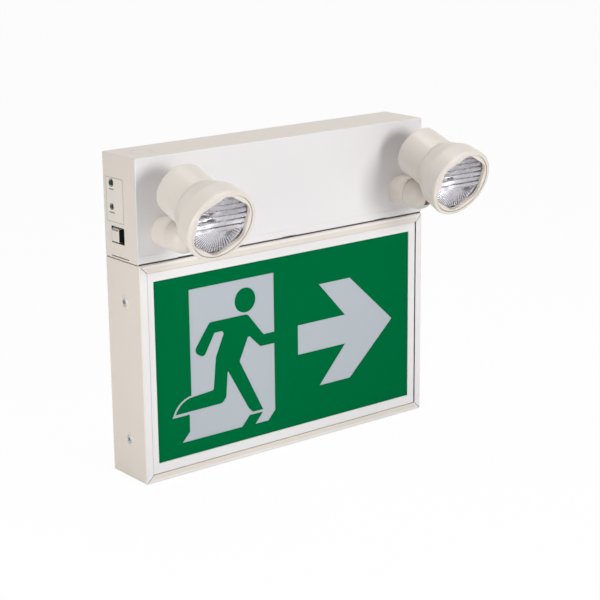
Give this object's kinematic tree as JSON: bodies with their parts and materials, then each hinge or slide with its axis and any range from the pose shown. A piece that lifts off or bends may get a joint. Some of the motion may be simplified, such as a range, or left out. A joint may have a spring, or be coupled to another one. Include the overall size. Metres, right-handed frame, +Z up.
{
  "type": "emergency exit light",
  "caption": "Wall-mounted exit sign with running-man legend and arrow, battery box above it and two aimable round lamp heads.",
  "frame": {"origin": "centre of the cable entry and of the wall screw pattern, on the back face that lies against the wall", "axes": "+X to the right as seen from the room, +Y into the wall, +Z up"},
  "size_m": [0.3406, 0.1504, 0.296],
  "materials": {
    "cream_paint": "semi-gloss powder coat",
    "white_paint": "semi-gloss powder coat",
    "cream_plastic": "fine satin moulding",
    "clear_lens": "clear ribbed",
    "mirror_bowl": "bright vacuum-metallised",
    "green_film": "printed green film",
    "white_diffuser": "opal",
    "black_plastic": "satin",
    "zinc_steel": "zinc plated",
    "board_green": "solder mask",
    "led_green": "tinted clear",
    "led_amber": "tinted clear",
    "led_chip": "phosphor",
    "label_cream": "plain",
    "battery_case": "moulded case",
    "core_steel": "laminated",
    "rubber_black": "matt",
    "bulb_glass": "clear"
  },
  "bodies": {
    "cabinet": {"sign_housing": "cream_paint", "face_plate": "white_paint", "legend_film": "green_film", "diffuser_panel": "white_diffuser", "left_panel_rail": "zinc_steel", "right_panel_rail": "zinc_steel", "side_screws": "cream_paint", "side_nuts": "zinc_steel", "light_strips": "board_green", "strip_leds": "led_chip", "sign_driver": "black_plastic", "mains_terminal": "cream_plastic", "joining_screws": "zinc_steel", "joining_nuts": "zinc_steel", "cable_grommet": "rubber_black", "upper_housing": "cream_paint", "front_cover": "white_paint", "battery": "battery_case", "battery_strap": "zinc_steel", "transformer": "core_steel", "charger_board": "board_green", "charger_components": "black_plastic", "board_standoffs": "cream_plastic", "indicator_board": "board_green", "status_led": "led_green", "charge_led": "led_amber", "indicator_label": "label_cream", "test_switch_body": "black_plastic", "left_collar": "cream_plastic", "left_lock_nut": "zinc_steel", "right_collar": "cream_plastic", "right_lock_nut": "zinc_steel"},
    "test_button": {"test_button": "cream_plastic"},
    "left_swivel": {"left_knuckle": "cream_plastic", "left_retaining_clip": "zinc_steel", "left_tilt_pin": "zinc_steel"},
    "left_lamp": {"left_lamp_cup": "cream_plastic", "left_lamp_bell": "cream_plastic", "left_lens_ring": "cream_plastic", "left_lamp_lens": "clear_lens", "left_reflector": "mirror_bowl", "left_bulb": "bulb_glass", "left_bulb_socket": "black_plastic"},
    "right_swivel": {"right_knuckle": "cream_plastic", "right_retaining_clip": "zinc_steel", "right_tilt_pin": "zinc_steel"},
    "right_lamp": {"right_lamp_cup": "cream_plastic", "right_lamp_bell": "cream_plastic", "right_lens_ring": "cream_plastic", "right_lamp_lens": "clear_lens", "right_reflector": "mirror_bowl", "right_bulb": "bulb_glass", "right_bulb_socket": "black_plastic"}
  },
  "joints": [
    {"name": "test_press", "type": "slide", "parent": "cabinet", "child": "test_button", "axis": [1, 0, 0], "range_m": [0, 0.002], "stiffness_N_per_m": 500},
    {"name": "left_swivel_turn", "type": "hinge", "parent": "cabinet", "child": "left_swivel", "pos_m": [-0.1365, -0.08, 0.1277], "axis": [0, 1, 0], "range_deg": [-170, 170]},
    {"name": "left_lamp_tilt", "type": "hinge", "parent": "left_swivel", "child": "left_lamp", "pos_m": [-0.1365, -0.08, 0.1277], "axis": [1, 0, 0], "range_deg": [-20, 69]},
    {"name": "right_swivel_turn", "type": "hinge", "parent": "cabinet", "child": "right_swivel", "pos_m": [0.1365, -0.08, 0.1277], "axis": [0, 1, 0], "range_deg": [-170, 170]},
    {"name": "right_lamp_tilt", "type": "hinge", "parent": "right_swivel", "child": "right_lamp", "pos_m": [0.1365, -0.08, 0.1277], "axis": [1, 0, 0], "range_deg": [-20, 69]}
  ]
}
